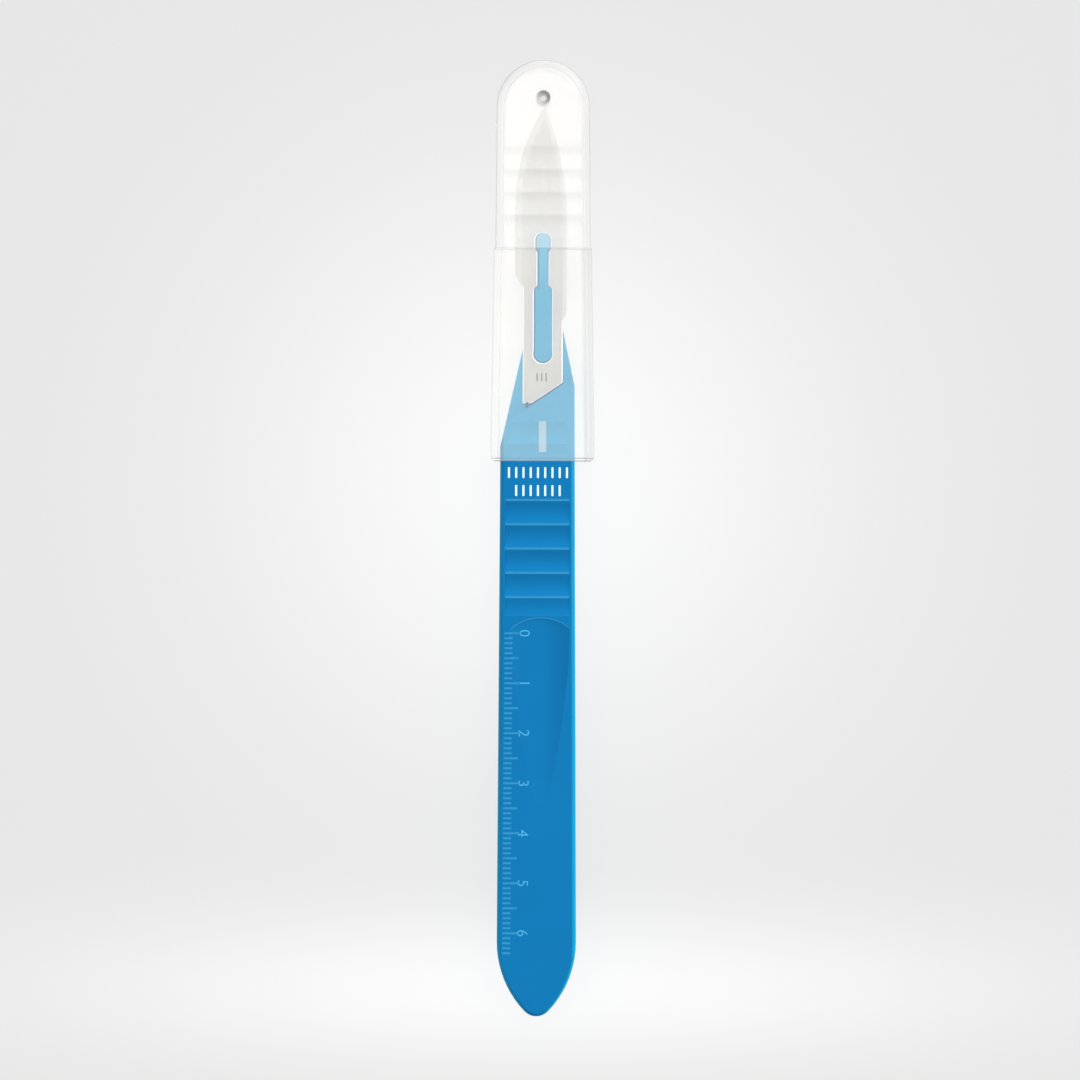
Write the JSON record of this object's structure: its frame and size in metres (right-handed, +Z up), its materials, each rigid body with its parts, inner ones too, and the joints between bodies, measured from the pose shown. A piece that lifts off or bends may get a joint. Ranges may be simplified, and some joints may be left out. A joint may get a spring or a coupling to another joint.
{
  "type": "disposable scalpel",
  "caption": "Flat moulded handle with finger scallops and a millimetre scale, a slotted steel blade on its boss, and a translucent guard that slides off.",
  "frame": {"origin": "middle of the whole length and width, on the surface that the scalpel lies on", "axes": "+Y along the length towards the blade and the guard's closed end, +Z up out of the face with the scale"},
  "size_m": [0.0208, 0.1914, 0.0076],
  "materials": {
    "handle_plastic": "satin moulded blue plastic",
    "blade_steel": "ground and polished blade steel",
    "guard_plastic": "translucent natural plastic"
  },
  "bodies": {
    "scalpel": {"handle": "handle_plastic", "blade": "blade_steel"},
    "guard": {"blade_guard": "guard_plastic"}
  },
  "joints": [
    {"name": "guard_slide", "type": "slide", "parent": "scalpel", "child": "guard", "axis": [0, 1, 0], "range_m": [0, 0.08]}
  ]
}
